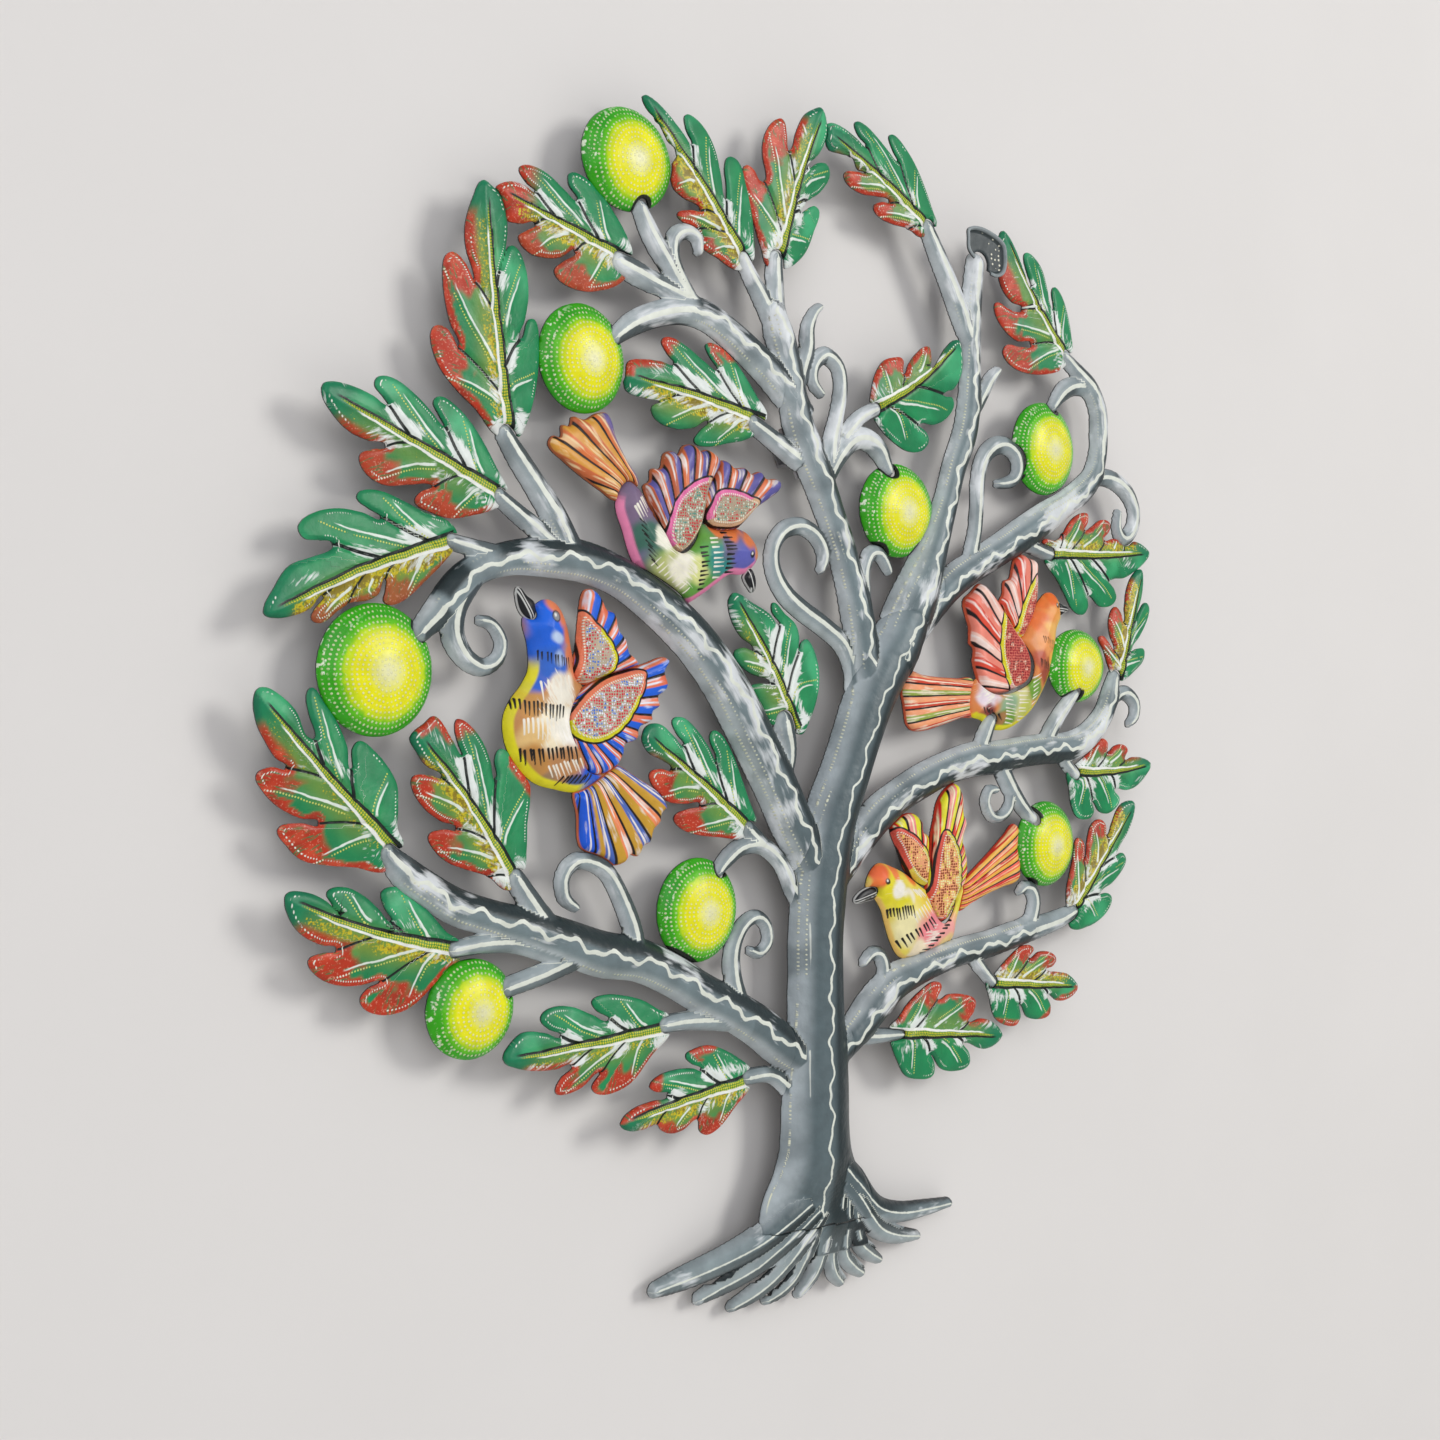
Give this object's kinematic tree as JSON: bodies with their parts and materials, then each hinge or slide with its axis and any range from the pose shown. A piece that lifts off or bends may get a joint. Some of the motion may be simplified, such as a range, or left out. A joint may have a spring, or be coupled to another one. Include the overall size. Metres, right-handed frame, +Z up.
{
  "type": "tree of life wall sculpture",
  "caption": "Round wall hanging of cut, hammered and painted sheet steel: a tree with scrolling limbs, lobed leaves, domed fruits and perched birds, hung from a strap on its back.",
  "frame": {"origin": "centre of the hanger strap's nail hole, on the wall plane", "axes": "+Y into the wall, so the painted face looks along -Y; +Z up; +X to the right seen from the front"},
  "size_m": [0.5839, 0.0291, 0.5893],
  "materials": {
    "bare_steel": "bare steel, lightly oiled",
    "bird_blue": "satin paint",
    "bird_orange": "satin paint",
    "bird_purple": "satin paint",
    "bird_yellow": "satin paint",
    "cut_end_grey": "satin paint",
    "fruit_green": "gloss paint",
    "leaf_green": "satin paint",
    "limb_grey": "satin paint",
    "trunk_grey": "satin paint"
  },
  "bodies": {
    "root": {"arm_crown_left": "limb_grey", "bird_blue_body": "bird_blue", "bird_blue_far_wing": "bird_blue", "bird_blue_near_wing": "bird_blue", "bird_orange_body": "bird_orange", "bird_orange_far_wing": "bird_orange", "bird_orange_near_wing": "bird_orange", "bird_purple_body": "bird_purple", "bird_purple_far_wing": "bird_purple", "bird_purple_near_wing": "bird_purple", "bird_yellow_body": "bird_yellow", "bird_yellow_far_wing": "bird_yellow", "bird_yellow_near_wing": "bird_yellow", "curl_crown": "limb_grey", "fruit_1": "fruit_green", "fruit_2": "fruit_green", "fruit_3": "fruit_green", "fruit_4": "fruit_green", "fruit_5": "fruit_green", "fruit_6": "fruit_green", "fruit_7": "fruit_green", "fruit_8": "fruit_green", "fruit_9": "fruit_green", "hanger_strap": "bare_steel", "leaf_01": "leaf_green", "leaf_02": "leaf_green", "leaf_03": "leaf_green", "leaf_04": "leaf_green", "leaf_05": "leaf_green", "leaf_06": "leaf_green", "leaf_07": "leaf_green", "leaf_08": "leaf_green", "leaf_09": "leaf_green", "leaf_10": "leaf_green", "leaf_11": "leaf_green", "leaf_12": "leaf_green", "leaf_13": "leaf_green", "leaf_14": "leaf_green", "leaf_15": "leaf_green", "leaf_16": "leaf_green", "leaf_17": "leaf_green", "leaf_18": "leaf_green", "leaf_19": "leaf_green", "leaf_20": "leaf_green", "leaf_21": "leaf_green", "leaf_22": "leaf_green", "leaf_23": "leaf_green", "limb_crown": "limb_grey", "limb_lower_left": "limb_grey", "limb_right_lower": "limb_grey", "limb_right_middle": "limb_grey", "limb_right_outer": "limb_grey", "limb_upper_left": "limb_grey", "limb_upright": "limb_grey", "root_left": "trunk_grey", "root_middle": "trunk_grey", "root_right": "trunk_grey", "stub_cap": "cut_end_grey", "trunk": "trunk_grey", "twig_middle_left": "limb_grey"}
  },
  "joints": []
}
